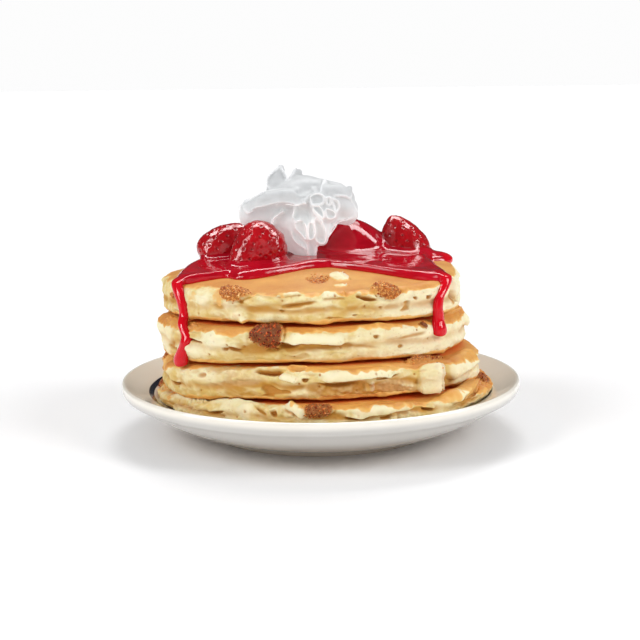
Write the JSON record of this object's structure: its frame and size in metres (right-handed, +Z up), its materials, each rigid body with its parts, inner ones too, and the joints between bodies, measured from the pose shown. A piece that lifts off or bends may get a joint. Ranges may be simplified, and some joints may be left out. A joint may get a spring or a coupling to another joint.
{
  "type": "pancake stack",
  "caption": "Stack of thick pancakes on a rimmed china plate, topped with strawberries in red sauce and a swirl of whipped cream.",
  "frame": {"origin": "centre of the plate's foot ring, on the table", "axes": "+Z up through the stack, -Y towards the front, where the sauce runs down at two places, +X to the right seen from the front"},
  "size_m": [0.203, 0.203, 0.1358],
  "materials": {
    "china": "smooth warm white glaze with one dark blue line round the rim's inner slope",
    "pancake": "soft cream-coloured crumb with small pores, and a smooth tan to brown griddled crust",
    "strawberry": "glossy, wet with sauce, dimpled with seeds",
    "cream": "smooth soft white, satin",
    "sauce": "very glossy, thick and partly clear"
  },
  "bodies": {
    "root": {"plate": "china", "pancake_1": "pancake", "pancake_2": "pancake", "pancake_3": "pancake", "pancake_4": "pancake", "strawberry_back_left": "strawberry", "strawberry_front_left": "strawberry", "strawberry_half": "strawberry", "strawberry_right": "strawberry", "whipped_cream": "cream", "strawberry_sauce": "sauce"}
  },
  "joints": []
}
